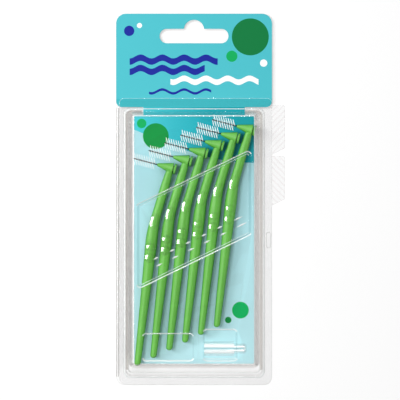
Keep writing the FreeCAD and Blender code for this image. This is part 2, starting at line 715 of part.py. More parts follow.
def build_wire(brush, index, shank, tip):
    """One brush's steel wire, from the middle of the head to a rounded tip."""
    wire = doc.addObject("Part::MultiFuse", f"{brush}_wire")
    wire.Shapes = [shank, tip]
    bind(wire, Placement=brush_place(index))


def filament_shape():
    """A coat round the wire, with filaments that leave it both ways and turn as they follow it."""
    start = number("sizes.cone_reach + sizes.coat_start")
    length = number("sizes.wire_exposed - sizes.coat_start - sizes.coat_end")
    thickness = number("sizes.filament_thickness")
    coat_radius = number("sizes.coat_diameter / 2")
    bore_radius = number("sizes.wire_diameter / 2 + sizes.coat_clearance")
    root = (coat_radius + bore_radius) / 2
    reach = number("sizes.filament_diameter / 2") - root
    spacing = number("sizes.filament_pitch") / FILAMENTS_PER_TURN
    wire_way = FreeCAD.Vector(-1, 0, 0)
    origin = FreeCAD.Vector(0, 0, 0)
    coat = Part.makeCylinder(coat_radius, length, FreeCAD.Vector(-start, 0, 0), wire_way)
    bore = Part.makeCylinder(bore_radius, length, FreeCAD.Vector(-start, 0, 0), wire_way)
    filaments = []
    for index in range(int((length - thickness) / spacing) + 1):
        for half_turn in (0, HALF_TURN):
            corner = FreeCAD.Vector(-start - thickness - index * spacing, -thickness / 2, root)
            filament = Part.makeBox(thickness, thickness, reach, corner)
            filament.rotate(origin, wire_way, index * FULL_TURN / FILAMENTS_PER_TURN + half_turn)
            filaments.append(filament)
    return coat.cut(bore).fuse(filaments)


def build_filaments(brush, index, shape):
    """One brush's filaments, a copy of the shape that all the brushes share."""
    filaments = doc.addObject("Part::Feature", f"{brush}_filaments")
    filaments.Shape = shape.copy()
    bind(filaments, Placement=brush_place(index))


build_card()
build_back_shell()
build_front_shell()
build_cap()
moulding = build_moulding()
bore = bind(doc.addObject("Part::Cylinder", "wire_bore"), Radius="sizes.wire_diameter / 2",
            Height="layout.wire_reach", Placement=place("0", "0", "0", pitch=TO_TIP))
shank = bind(doc.addObject("Part::Cylinder", "wire_shank"), Radius="sizes.wire_diameter / 2",
             Height="layout.wire_reach - sizes.wire_diameter / 2",
             Placement=place("0", "0", "0", pitch=TO_TIP))
tip = bind(doc.addObject("Part::Sphere", "wire_tip"), Radius="sizes.wire_diameter / 2",
           Placement=place("sizes.wire_diameter / 2 - layout.wire_reach", "0", "0"))
shared_filaments = filament_shape()
brushes = [f"brush_{index + 1}" for index in range(BRUSH_COUNT)]
for index, brush in enumerate(brushes):
    build_handle(brush, index, moulding, bore)
    build_wire(brush, index, shank, tip)
    build_filaments(brush, index, shared_filaments)
doc.recompute()

failed = [feature.Name for feature in doc.Objects if {"Invalid", "Error"} & set(feature.State)]
if failed:
    raise RuntimeError(f"features that failed: {failed}")
nodes = ["header_card", "back_shell", "front_shell", "protective_cap"]
nodes += [f"{brush}_{piece}" for brush in brushes for piece in ("handle", "wire", "filaments")]
for node in nodes:
    shape = doc.getObject(node).Shape
    if shape.isNull() or not shape.isValid():
        raise RuntimeError(f"{node} has no valid shape")
for node in nodes:
    doc.getObject(node).Shape.exportStep(f"parts/{node}.step")
    print(node, round(doc.getObject(node).Shape.Volume, 1))
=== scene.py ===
import math

import bmesh
import bpy
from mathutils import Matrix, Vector


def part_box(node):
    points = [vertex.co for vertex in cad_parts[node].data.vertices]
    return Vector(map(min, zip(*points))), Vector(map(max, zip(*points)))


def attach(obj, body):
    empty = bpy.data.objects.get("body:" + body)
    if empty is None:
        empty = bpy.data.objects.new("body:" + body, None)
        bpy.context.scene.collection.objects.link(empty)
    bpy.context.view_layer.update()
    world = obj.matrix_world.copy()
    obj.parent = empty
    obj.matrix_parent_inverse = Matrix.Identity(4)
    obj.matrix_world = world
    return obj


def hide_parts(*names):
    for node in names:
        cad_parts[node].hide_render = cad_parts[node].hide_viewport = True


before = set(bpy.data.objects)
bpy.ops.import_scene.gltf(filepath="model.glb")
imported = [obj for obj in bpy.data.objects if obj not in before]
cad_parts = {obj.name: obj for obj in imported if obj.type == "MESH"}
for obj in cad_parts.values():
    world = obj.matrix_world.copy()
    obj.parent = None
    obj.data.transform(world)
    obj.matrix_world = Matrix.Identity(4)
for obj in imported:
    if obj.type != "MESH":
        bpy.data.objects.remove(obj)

bl_info = {
    "name": "Interdental brush pack",
    "version": (1, 0, 0),
    "blender": (4, 5, 0),
    "location": "View3D > Sidebar > Brush pack",
    "description": "Models six angled interdental brushes in a hinged clear pack with a hang card",
    "category": "Object",
}

MM = 0.001
BRUSHES = 6
# Distance in mm at which two points are one, and at which an edge counts as lying at a height
SAME_POINT = 0.002
EDGE_NEAR = 0.02
# Turns in degrees between faces that count as flat and as a sharp edge, and steps across a rounded edge
FLAT_TURN = 0.5
SHARP_TURN = 35
EDGE_STEPS = 3
# Least share of a direction that lies along an axis, for what faces along that axis
FACING = 0.9
# Down the handle from the wire's crossing: distance, width and thickness in mm
HANDLE_SECTIONS = (
    (0.85, 3.1, 3.0),
    (4.5, 3.7, 3.36),
    (9.6, 4.1, 3.6),
    (19.7, 4.25, 3.73),
    (24.8, 4.52, 3.96),
    (28.2, 4.93, 4.32),
    (31.4, 5.39, 4.72),
    (35.8, 5.6, 4.9),
    (40.3, 5.44, 4.7),
    (44.8, 5.12, 4.3),
    (51.8, 4.8, 3.9),
    (63.2, 4.26, 3.57),
    (77.9, 3.63, 3.19),
    (91.9, 3.0, 2.8),
)
# Points round the handle, rings down it, turns in degrees of the rings at its round end, and steps of
# its middle line
RING_POINTS = 28
RING_STEPS = 44
END_TURNS = (18, 36, 54, 70, 82)
MIDDLE_STEPS = 200
# Points round the head, and how far in mm past the groove its rounded edges start
HEAD_POINTS = 48
RIM_STEP = 0.1
# Points round a strand of the wire, and steps in one turn of its twist
STRAND_POINTS = 8
TWIST_STEPS = 12
# Ways round the wire in which the filaments of one turn stand, in degrees
FILAMENT_TURNS = (30, 90, 150, 210, 270, 330)
# Points round a filament, its tip to its root, and the tufts across the pack: filaments and spacing in radii
FILAMENT_POINTS = 5
FILAMENT_TAPER = 0.6
TUFT = 3
TUFT_SPACING = 1.5
# Length in mm of the cap's wide part, from its open end
CAP_BARREL = 14.0
# Where the formed pips of the front half press on a handle: distance down it in mm and length for width
PIPS = ((25.9, 1.8), (37.9, 1.0), (42.9, 1.15))
# Points round the ball that a pip's top is cut from, and its rings
PIP_POINTS = 48
PIP_RINGS = 96
# Formed ripples in the gaps between the handles: distance above the nest's lower edge and length in mm
RIPPLES = ((2.8, 3.6), (6.2, 3.0))
# Length of the ridges beside the last brush, to those between two brushes
LAST_RIPPLE_SHARE = 1.8
# How deep in mm the pips and ripples go into the face that they stand on
SINK = 0.05
# Formed edges of the clear halves that are rounded: height over the pack's back and width in mm
FRONT_EDGES = ((1.4, 0.18), (2.1, 0.3), (5.2, 0.75))
BACK_EDGES = ((0.45, 0.15), (3.65, 0.25))
# Walls of the front half that are lowered, in mm: lowest and highest place across, up and over the back
CAP_RECESS_WALL = ((0, 22), (-59.5, -54), (7.9, 13))
SNAP_LUG = ((30.4, 33), (-19.5, -11), (1.35, 13))
# Lower corners of the nest, in mm: least and most past its ends, above its lower edge and over the back
NEST_CORNER = ((-2.9, 1.8), (-4, 6), (6.2, 13))
# Zones of the clear sheet in mm: the dome's middle across and up, and half sizes of its face and of
# the whole dome
DOME_MIDDLE = (-3, -18.7)
FACE_HALF = (27, 56.2)
DOME_HALF = (30.7, 60.4)
# Heights over the back in mm, middle and half: the round at the dome's foot, the drawn rim and the
# tops of the pips
DOME_FOOT = (4.7, 0.49)
DRAWN_RIM = (3.1, 0.9)
PIP_TOPS = (7.03, 0.15)
# The face's lower end, place up and height over the back, and the height of the pack's outline, in mm
FACE_END = (-75.2, 9)
OUTLINE_TOP = 2.15
# Clear plastic with no tint, the white of the highlights painted on its bends, and the most of that painted
# white
CLEAR = (1, 1, 1, 1)
PAINTED_HIGHLIGHT_WHITE = "#F6FBFB"
STRONGEST_PAINTED_HIGHLIGHT = 0.9
# Print fields in mm: foot of the header, top of the band of painted shade along it, and the ends of the pale
# field's shading
HEADER_FOOT = 42.9
SHADE_BAND_TOP = 46.7
PALE_ENDS = (-76, 25)
# Lower edge of the deep field in mm: its ends across, its height at the left and its fall to the right
FIELD_ENDS = (-31, 25)
FIELD_TOP = 32.5
FIELD_FALL = 15.5
# Print waves: turn in radians for a mm across, and swing in mm
WAVE_TURN = 0.62
WAVE_SWING = 0.9
# Lamps: way round the pack and lean from overhead in degrees, width in m, share of the light
LAMPS = (
    ("left_lamp", 176, 24, 0.30, 0.32),
    ("low_left_lamp", 160, 54, 0.30, 0.28),
    ("top_lamp", 90, 48, 0.12, 0.10),
    ("upper_left_lamp", 116, 44, 0.12, 0.08),
    ("bottom_lamp", -90, 48, 0.12, 0.06),
    ("lower_right_lamp", -64, 44, 0.12, 0.06),
    ("right_lamp", 0, 50, 0.24, 0.05),
)
# How far the lamps are from the pack, in m, and the light of the world
LAMP_DISTANCE = 0.85
WORLD_LIGHT = 0.10
# Floor: width in m, distance below the pack in mm, colour and glow
FLOOR_SIZE = 6
FLOOR_DROP = 0.3
FLOOR_GREY = (0.62, 0.62, 0.62, 1)
FLOOR_GLOW = 0.40
# Camera: place and focal length in mm
CAMERA_PLACE = (-0.23, -0.33, 801)
FOCAL_LENGTH = 154.7


def length_property(name, description, size):
    """A length that a user can change, given in mm."""
    return bpy.props.FloatProperty(
        name=name, description=description, default=size * MM, subtype="DISTANCE", unit="LENGTH")


def angle_property(name, description, degrees):
    """An angle that a user can change, given in degrees."""
    return bpy.props.FloatProperty(
        name=name, description=description, default=math.radians(degrees), subtype="ANGLE", unit="ROTATION")


def colour_property(name, description, code):
    """A colour that a user can change, given as an sRGB hex code."""
    return bpy.props.StringProperty(name=name, description=description, default=code)


class BrushSizes(bpy.types.PropertyGroup):
    """Sizes of one brush"""

    wire_tilt: angle_property(
        "Wire tilt", "Rise of the wire towards its tip, from the pack's cross line", 14.5)
    wire_radius: length_property("Wire radius", "Radius of the wire's root", 0.25)
    strand_radius: length_property("Strand radius", "Radius of one of the wire's two twisted strands", 0.18)
    twist_pitch: length_property("Twist pitch", "Length of one turn of the twisted wire", 1.5)
    wire_start: length_property("Wire start", "Where the twisted wire starts inside the cone", 4.5)
    wire_reach: length_property("Wire reach", "Distance from the handle's middle to the wire's tip", 18.0)
    cone_reach: length_property(
        "Cone reach", "Distance from the handle's middle to the cone's small end", 6.2)
    cone_small_radius: length_property("Cone small radius", "Radius of the cone at the wire", 0.65)
    cone_rear: length_property("Cone rear", "Distance from the handle's middle to the cone's large end", 1.2)
    cone_large_radius: length_property("Cone large radius", "Radius of the cone's large end", 2.7)
    groove_radius: length_property("Groove radius", "Radius of the groove between cone and disc", 1.4)
    groove_width: length_property("Groove width", "Width of the groove between cone and disc", 0.5)
    disc_radius: length_property("Disc radius", "Radius of the disc behind the cone", 2.5)
    disc_width: length_property("Disc width", "Thickness of the disc behind the cone", 1.0)
    edge_round: length_property("Edge round", "Width of the rounded moulding edges", 0.18)
    upper_length: length_property("Upper length", "Length of the handle above its bend", 28.2)
    upper_slope: angle_property("Upper slope", "Slope of the handle above its bend, from upright", 16.4)
    tail_slope: angle_property("Tail slope", "Slope of the handle below its bend, from upright", 6.5)
    bend_run: length_property("Bend run", "Length each way over which the bend is spread", 6.0)
    filament_radius: length_property("Filament radius", "Radius of one nylon filament", 0.09)
    filament_reach: length_property("Filament reach", "Distance from the wire to a filament's tip", 2.5)
    filament_lean: angle_property("Filament lean", "Lean of the filaments that stand across the pack", 27)
    filament_row: length_property(
        "Filament row", "Spacing of the filament rows, half a turn of their helix", 1.15)
    filament_start: length_property("Filament start", "Where the filaments start on the wire", 7.3)
    filament_end: length_property("Filament end", "Where the filaments end on the wire", 17.2)


class PackSizes(bpy.types.PropertyGroup):
    """Sizes of the formed pack"""

    nest_top: length_property("Nest top", "Height of the nest's outer face over the pack's back", 6.85)
    nest_slope: angle_property("Nest slope", "Rise of the nest's slanting edges", 25.9)
    nest_left: length_property("Nest left", "Left end of the nest", -29.1)
    nest_right: length_property("Nest right", "Right end of the nest", 23.1)
    nest_drop: length_property(
        "Nest drop", "How far the nest's lower wall is carried on towards the foot", 2.9)
    hold_drop: length_property(
        "Cap recess drop", "How far the upper wall of the cap's recess is lowered", 2.8)
    lug_drop: length_property("Lug drop", "How far the snap lug on the free edge is lowered", 3.8)
    nest_edge_x: length_property(
        "Nest edge across", "Place across of a point on the nest's lower edge", -24.1)
    nest_edge_y: length_property("Nest edge up", "Place up of that point on the nest's lower edge", -35.9)
    pip_height: length_property("Pip height", "Height of a formed pip", 0.3)
    pip_round: length_property("Pip round", "Radius of a pip's domed top", 8.0)
    ripple_start: length_property(
        "Ripple start", "Where the first ripple stands along the nest's lower edge", 7.0)
    ripple_radius: length_property("Ripple radius", "Half width of a formed ripple", 0.5)
    tab_start: length_property("Tab start", "Where the knurl of the pull tabs starts", 33.4)
    tab_middle: length_property("Tab middle", "Height between the two pull tabs", 21.5)
    knurl_pitch: length_property("Knurl pitch", "Spacing across the tabs of their slanting knurl lines", 2.8)


class PackColours(bpy.types.PropertyGroup):
    """Colours of the pack"""

    moulding: colour_property("Moulding", "Colour of the brush handles", "#68BB47")
    # Painted shade colour for the steep sides of the handles
    moulding_painted_shade: colour_property("Moulding sides", "Colour of the steep sides of the handles", "#2F9433")
    header: colour_property("Header", "Colour of the card's header", "#4DC2CD")
    deep: colour_property("Deep field", "Colour of the upper field behind the brushes", "#0FA5B2")
    pale: colour_property("Pale field", "Colour of the lower field behind the brushes", "#ABDCE4")
    dark_green: colour_property("Dark green", "Colour of the large print disc", "#007A3D")
    leaf_green: colour_property("Leaf green", "Colour of the middle print discs", "#00923F")
    dot_green: colour_property("Dot green", "Colour of the small print discs", "#00AE5B")
    navy: colour_property("Navy", "Colour of the print waves", "#10249A")
    board: colour_property("Board", "Colour of the unprinted board", "#EFEFEC")


def linear(code):
    """Linear colour of an sRGB hex code."""
    parts = [int(code[i:i + 2], 16) / 255 for i in (1, 3, 5)]
    return [p / 12.92 if p <= 0.04045 else ((p + 0.055) / 1.055) ** 2.4 for p in parts] + [1]


def add_node(tree, kind, values=None, **settings):
    """Adds a node with its options, its inputs set, or linked to a socket or a node's first output."""
    node = tree.nodes.new(kind)
    for name, value in settings.items():
        setattr(node, name, value)
    for key, value in (values or {}).items():
        if isinstance(value, bpy.types.Node):
            value = value.outputs[0]
        if isinstance(value, bpy.types.NodeSocket):
            tree.links.new(value, node.inputs[key])
        else:
            node.inputs[key].default_value = value
    return node


def new_material(name):
    """An empty node material and its tree."""
    material = bpy.data.materials.new(name)
    material.use_nodes = True
    material.node_tree.nodes.clear()
    return material, material.node_tree


def give(piece, material):
    """Makes the material the piece's only one."""
    piece.data.materials.clear()
    piece.data.materials.append(material)


def millimetres(tree):
    """The place on the pack in mm."""
    place = add_node(tree, "ShaderNodeTexCoord").outputs["Object"]
    return add_node(tree, "ShaderNodeVectorMath", {0: place, "Scale": 1 / MM}, operation="SCALE")


def deselect():
    """Leaves nothing selected."""
    bpy.ops.object.select_all(action="DESELECT")


def select_only(*pieces):
    """Selects these pieces, the last one active."""
    deselect()
    for piece in pieces:
        piece.select_set(True)
        bpy.context.view_layer.objects.active = piece


def settle():
    """Puts the active piece's place and turn into its mesh."""
    bpy.ops.object.transform_apply(location=True, rotation=True, scale=True)


def edit():
    """Opens the active piece with everything selected."""
    bpy.ops.object.mode_set(mode="EDIT")
    bpy.ops.mesh.select_all(action="SELECT")


def close_edit():
    """Turns the normals outwards and leaves edit mode."""
    bpy.ops.mesh.select_all(action="SELECT")
    bpy.ops.mesh.normals_make_consistent(inside=False)
    bpy.ops.object.mode_set(mode="OBJECT")


def pick_faces(piece, test):
    """Selects the faces that the test accepts by middle and normal."""
    bpy.ops.mesh.select_mode(type="FACE")
    bpy.ops.mesh.select_all(action="DESELECT")
    mesh = bmesh.from_edit_mesh(piece.data)
    for face in mesh.faces:
        face.select_set(test(face.calc_center_median(), face.normal))
    bmesh.update_edit_mesh(piece.data)


def pick_edges(piece, test, least_turn=0):
    """Selects the edges whose two ends the test accepts, or only those that stand out by an angle."""
    bpy.ops.mesh.select_mode(type="EDGE")
    bpy.ops.mesh.select_all(action="DESELECT")
    mesh = bmesh.from_edit_mesh(piece.data)
    for line in mesh.edges:
        sharp = least_turn == 0 or line.is_convex and line.calc_face_angle(0) >= least_turn
        line.select_set(sharp and all(test(point.co) for point in line.verts))
    bmesh.update_edit_mesh(piece.data)


def apply_modifier(piece, kind, **settings):
    """Adds a modifier with these settings and applies it."""
    select_only(piece)
    modifier = piece.modifiers.new(kind.title(), kind)
    for name, value in settings.items():
        setattr(modifier, name, value)
    bpy.ops.object.modifier_apply(modifier=modifier.name)


def unite(piece, *others):
    """Joins closed pieces to one closed piece and drops the others."""
    for other in others:
        apply_modifier(piece, "BOOLEAN", operation="UNION", solver="MANIFOLD", object=other)
        bpy.data.objects.remove(other)


def smooth(piece, angle):
    """Smooth shading up to this angle between faces, with flat faces kept flat."""
    select_only(piece)
    bpy.ops.object.shade_smooth_by_angle(angle=math.radians(angle))
    apply_modifier(piece, "WEIGHTED_NORMAL", keep_sharp=True)


def cad_copy(node, name):
    """A merged copy of a CAD node, to be detailed and shown in its place."""
    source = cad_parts[node]
    piece = bpy.data.objects.new(name, source.data.copy())
    bpy.context.scene.collection.objects.link(piece)
    select_only(piece)
    bpy.ops.mesh.customdata_custom_splitnormals_clear()
    edit()
    bpy.ops.mesh.remove_doubles(threshold=SAME_POINT * MM)
    close_edit()
    return piece


def lower_wall(piece, drop, test):
    """Moves the wall whose points the test accepts towards the foot of the pack."""
    select_only(piece)
    edit()
    bpy.ops.mesh.select_mode(type="VERT")
    bpy.ops.mesh.select_all(action="DESELECT")
    mesh = bmesh.from_edit_mesh(piece.data)
    for point in mesh.verts:
        point.select_set(test(point.co / MM))
    bmesh.update_edit_mesh(piece.data)
    bpy.ops.transform.translate(value=(0, -drop, 0))
    close_edit()


def in_box(point, box):
    """Whether a point lies between the lowest and highest places of a box."""
    return all(low < value < high for value, (low, high) in zip(point, box))


def at_nest_corner(point):
    """Whether a point in mm lies at one of the nest's two lower corners."""
    pack = bpy.context.scene.pack_sizes
    edge = pack.nest_edge_y / MM + (point.x - pack.nest_edge_x / MM) * math.tan(pack.nest_slope)
    out = max(pack.nest_left / MM - point.x, point.x - pack.nest_right / MM)
    return in_box((out, point.y - edge, point.z), NEST_CORNER)


def soften(piece, edges):
    """Rounds the sharp edges at these heights."""
    select_only(piece)
    edit()
    bpy.ops.mesh.dissolve_limited(angle_limit=math.radians(FLAT_TURN))
    for height, width in edges:
        pick_edges(piece, lambda point: abs(point.z / MM - height) < EDGE_NEAR, math.radians(SHARP_TURN))
        bpy.ops.mesh.bevel(offset=width * MM, segments=EDGE_STEPS, clamp_overlap=False)
    close_edit()


def finish_piece(piece, body, slot, *nodes):
    """Attaches a finished piece to its body and hides the CAD nodes that it stands for."""
    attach(piece, body)
    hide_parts(*nodes)


def brush_place(index):
    """Where a brush's wire crosses its handle, from the CAD wire's box."""
    sizes = bpy.context.scene.brush_sizes
    low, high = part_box(f"brush_{index + 1}_wire")
    return Vector((
        high.x - sizes.wire_radius * math.sin(sizes.wire_tilt),
        low.y + sizes.wire_radius * math.cos(sizes.wire_tilt),
        (low.z + high.z) / 2))


def copy_to_brushes(pattern, part, slot, material, shadow=True):
    """Copies one modelled shape to all the brushes, each copy with a mesh of its own."""
    for index in range(BRUSHES):
        piece = pattern.copy()
        piece.data = pattern.data.copy()
        piece.name = f"visual_brush_{index + 1}_{part}"
        bpy.context.scene.collection.objects.link(piece)
        piece.location = brush_place(index)
        select_only(piece)
        settle()
        give(piece, material)
        piece.visible_shadow = shadow
        finish_piece(piece, "tray", slot, f"brush_{index + 1}_{part}")
    bpy.data.objects.remove(pattern)


def handle_slope(down):
    """Slope of the handle's middle line at a distance down it."""
    sizes = bpy.context.scene.brush_sizes
    share = (down - sizes.upper_length + sizes.bend_run) / (2 * sizes.bend_run)
    share = min(max(share, 0), 1)
    share = share * share * (3 - 2 * share)
    return sizes.upper_slope + (sizes.tail_slope - sizes.upper_slope) * share


def handle_middle(down):
    """Middle of the handle at a distance down it, from the wire's crossing."""
    place = Vector((0, 0, 0))
    for step in range(MIDDLE_STEPS):
        slope = handle_slope(down * (step + 0.5) / MIDDLE_STEPS)
        place -= Vector((math.sin(slope), math.cos(slope), 0)) * (down / MIDDLE_STEPS)
    return place


def handle_section(down):
    """Half width and half thickness of the handle at a distance down it."""
    rows = [[part * MM for part in row] for row in HANDLE_SECTIONS]
    if down <= rows[0][0]:
        return rows[0][1] / 2, rows[0][2] / 2
    for i in range(len(rows) - 1):
        if down <= rows[i + 1][0]:
            break
    before = rows[max(i - 1, 0)]
    after = rows[min(i + 2, len(rows) - 1)]
    first, second = rows[i], rows[i + 1]
    run = second[0] - first[0]
    share = min((down - first[0]) / run, 1)
    result = []
    for k in (1, 2):
        leave = (second[k] - before[k]) / (second[0] - before[0]) * run
        reach = (after[k] - first[k]) / (after[0] - first[0]) * run
        value = (first[k] * (2 * share ** 3 - 3 * share ** 2 + 1)
                 + leave * (share ** 3 - 2 * share ** 2 + share)
                 + second[k] * (3 * share ** 2 - 2 * share ** 3)
                 + reach * (share ** 3 - share ** 2))
        result.append(value / 2)
    return result


def handle_rings():
    """Middle, half width and half thickness of each ring down the handle, its round end included."""
    rings = []
    first, last = HANDLE_SECTIONS[0][0] * MM, HANDLE_SECTIONS[-1][0] * MM
    for step in range(RING_STEPS + 1):
        down = first + (last - first) * step / RING_STEPS
        half_width, half_thickness = handle_section(down)
        rings.append((handle_middle(down), half_width / math.cos(handle_slope(down)), half_thickness))
    end_width, end_thickness = rings[-1][1:]
    for turn in END_TURNS:
        turn = math.radians(turn)
        share = math.cos(turn)
        place = handle_middle(last + end_thickness * math.sin(turn))
        rings.append((place, end_width * share, end_thickness * share))
    return rings


def model_handle():
    """The handle bar, drawn down from the head ring by ring."""
    rings = handle_rings()
    deselect()
    bpy.ops.mesh.primitive_circle_add(
        vertices=RING_POINTS, radius=1, fill_type="NGON", rotation=(math.pi / 2, 0, 0))
    bar = bpy.context.object
    settle()
    edit()
    place, half_width, half_thickness = rings[0]
    bpy.ops.transform.resize(value=(half_width, 1, half_thickness), center_override=(0, 0, 0))
    bpy.ops.transform.translate(value=place)
    for old, new in zip(rings, rings[1:]):
        bpy.ops.mesh.extrude_region_move(TRANSFORM_OT_translate={"value": new[0] - old[0]})
        bpy.ops.transform.resize(
            value=(new[1] / old[1], 1, new[2] / old[2]), center_override=new[0])
    close_edit()
    return bar


def model_head():
    """The cone that holds the wire, its groove and the disc behind it, along the wire."""
    sizes = bpy.context.scene.brush_sizes
    length = sizes.cone_reach + sizes.cone_rear
    deselect()
    bpy.ops.mesh.primitive_cone_add(
        vertices=HEAD_POINTS, radius1=sizes.cone_large_radius, radius2=sizes.cone_small_radius, depth=length,
        location=(sizes.cone_rear - length / 2, 0, 0), rotation=(0, -math.pi / 2, 0))
    head = bpy.context.object
    settle()
    edit()
    pick_faces(head, lambda middle, normal: normal.x > FACING)
    bpy.ops.mesh.inset(thickness=sizes.cone_large_radius - sizes.groove_radius)
    bpy.ops.mesh.extrude_region_move(TRANSFORM_OT_translate={"value": (sizes.groove_width, 0, 0)})
    bpy.ops.mesh.extrude_region_move(TRANSFORM_OT_translate={"value": (0, 0, 0)})
    grow = sizes.disc_radius / sizes.groove_radius
    bpy.ops.transform.resize(value=(1, grow, grow))
    bpy.ops.mesh.extrude_region_move(TRANSFORM_OT_translate={"value": (sizes.disc_width, 0, 0)})
    rim = sizes.groove_radius + RIM_STEP * MM
    pick_edges(head, lambda point: math.hypot(point.y, point.z) > rim)
    bpy.ops.mesh.bevel(offset=sizes.edge_round, segments=EDGE_STEPS)
    close_edit()
    return head


def green_moulding():
    """Bright green polypropylene: satin gloss, faint moulding grain, and painted shade that turns its steep
    sides deeper green.
    """
    material, tree = new_material("green_polypropylene")
    colours = bpy.context.scene.pack_colours
    place = millimetres(tree)
    # Flow marks about 1 mm wide, coarser than real ones so that they show, over grain of 0.1 mm
    flow = add_node(tree, "ShaderNodeTexNoise", {"Vector": place, "Scale": 0.9, "Detail": 3})
    rough = add_node(tree, "ShaderNodeMapRange", {0: flow, 3: 0.36, 4: 0.46})
    grain = add_node(tree, "ShaderNodeTexNoise", {"Vector": place, "Scale": 9, "Detail": 2})
    bump = add_node(tree, "ShaderNodeBump", {"Height": grain, "Strength": 0.05, "Distance": 0.02 * MM})
    # Painted shade: faces that turn away from overhead are mixed towards the deeper green
    normal = add_node(tree, "ShaderNodeTexCoord").outputs["Normal"]
    rise = add_node(tree, "ShaderNodeSeparateXYZ", {0: normal}).outputs[2]
    flat = add_node(tree, "ShaderNodeMapRange", {0: rise, 1: 0.15, 2: 0.8}, interpolation_type="SMOOTHSTEP")
    body = add_node(tree, "ShaderNodeMix", {
        0: flat, 6: linear(colours.moulding_painted_shade), 7: linear(colours.moulding)}, data_type="RGBA")
    shader = add_node(tree, "ShaderNodeBsdfPrincipled", {
        "Base Color": body.outputs[2], "Roughness": rough, "Normal": bump, "IOR": 1.49})
    add_node(tree, "ShaderNodeOutputMaterial", {0: shader})
    return material


class PACK_OT_handles(bpy.types.Operator):
    """Models one handle with its cone head and copies it to the six brushes"""

    bl_idname = "pack.handles"
    bl_label = "Handles"

    def execute(self, context):
        sizes = context.scene.brush_sizes
        head = model_head()
        select_only(head)
        bpy.ops.transform.rotate(
            value=sizes.wire_tilt, orient_axis="Z", center_override=(0, 0, 0))
        settle()
        handle = model_handle()
        unite(handle, head)
        smooth(handle, 40)
        copy_to_brushes(handle, "handle", "green_moulding", green_moulding())
        return {"FINISHED"}


def steel_wire():
    """Twisted stainless wire: dark drawn metal with a narrow shine."""
    material, tree = new_material("stainless_wire")
    grain = add_node(tree, "ShaderNodeTexNoise", {"Vector": millimetres(tree), "Scale": 6, "Detail": 2})
    rough = add_node(tree, "ShaderNodeMapRange", {0: grain, 3: 0.4, 4: 0.6})
    shader = add_node(tree, "ShaderNodeBsdfPrincipled", {
        "Base Color": linear("#070808"), "Metallic": 0.3, "Roughness": rough})
    add_node(tree, "ShaderNodeOutputMaterial", {0: shader})
    return material


class PACK_OT_wires(bpy.types.Operator):
    """Twists one wire from two strands and copies it to the six brushes"""

    bl_idname = "pack.wires"
    bl_label = "Wires"

    def execute(self, context):
        sizes = context.scene.brush_sizes
        length = sizes.wire_reach - sizes.wire_start
        turns = round(length / sizes.twist_pitch)
        strands = []
        for side in (-1, 1):
            deselect()
            bpy.ops.mesh.primitive_circle_add(
                vertices=STRAND_POINTS, radius=sizes.strand_radius,
                location=(side * sizes.strand_radius, 0, 0), rotation=(math.pi / 2, 0, 0))
            strand = context.object
            settle()
            apply_modifier(strand, "SCREW", axis="Z", screw_offset=length / turns, iterations=turns,
                           steps=TWIST_STEPS, render_steps=TWIST_STEPS, use_merge_vertices=False)
            edit()
            bpy.ops.mesh.fill_holes(sides=0)
            close_edit()
            strands.append(strand)
        select_only(*strands)
        bpy.ops.object.join()
        wire = context.object
        bpy.ops.transform.rotate(value=math.pi / 2, orient_axis="Y", center_override=(0, 0, 0))
        bpy.ops.transform.translate(value=(-sizes.wire_start, 0, 0))
        bpy.ops.transform.rotate(
            value=sizes.wire_tilt, orient_axis="Z", center_override=(0, 0, 0))
        settle()
        smooth(wire, 50)
        copy_to_brushes(wire, "wire", "steel_wire", steel_wire())
        return {"FINISHED"}


def nylon():
    """Clear-white nylon filament: pale and slightly shiny."""
    material, tree = new_material("nylon_filament")
    grain = add_node(tree, "ShaderNodeTexNoise", {"Vector": millimetres(tree), "Scale": 2, "Detail": 1})
    tone = add_node(tree, "ShaderNodeMix", {
        0: grain, 6: linear("#F4F8F8"), 7: linear("#FEFFFF")}, data_type="RGBA")
    shader = add_node(tree, "ShaderNodeBsdfPrincipled", {
        "Base Color": tone.outputs[2], "Roughness": 0.35, "IOR": 1.53})
    add_node(tree, "ShaderNodeOutputMaterial", {0: shader})
    return material


class PACK_OT_filaments(bpy.types.Operator):
    """Winds one set of filaments round the wire and copies it to the six brushes"""

    bl_idname = "pack.filaments"
    bl_label = "Filaments"

    def execute(self, context):
        sizes = context.scene.brush_sizes
        # Real filaments are finer and closer. These are drawn as coarse as they need to show
        rows = 1 + int((sizes.filament_end - sizes.filament_start) / sizes.filament_row)
        reach = sizes.filament_reach
        lines = []
        for turn in FILAMENT_TURNS:
            across = math.sin(math.radians(turn))
            shift = reach * math.tan(sizes.filament_lean) * across
            way = Vector((-shift, reach * across, reach * math.cos(math.radians(turn))))
            follow = sizes.filament_row * (turn % 180) / 180
            root = Vector((shift / 2 - sizes.filament_start - follow, 0, 0))
            deselect()
            bpy.ops.mesh.primitive_cone_add(
                vertices=FILAMENT_POINTS, radius1=sizes.filament_radius,
                radius2=sizes.filament_radius * FILAMENT_TAPER, depth=way.length,
                location=root + way / 2, rotation=way.to_track_quat("Z", "Y").to_euler())
            line = context.object
            settle()
            tuft = TUFT if abs(across) > FACING else 1
            spacing = TUFT_SPACING * sizes.filament_radius
            for count, step in ((tuft, spacing), (rows, sizes.filament_row)):
                apply_modifier(line, "ARRAY", count=count, use_relative_offset=False,
                               use_constant_offset=True, constant_offset_displace=(-step, 0, 0))
            lines.append(line)
        select_only(*lines)
        bpy.ops.object.join()
        filaments = context.object
        bpy.ops.transform.rotate(
            value=sizes.wire_tilt, orient_axis="Z", center_override=(0, 0, 0))
        settle()
        copy_to_brushes(filaments, "filaments", "nylon_filament", nylon(), shadow=False)
        return {"FINISHED"}


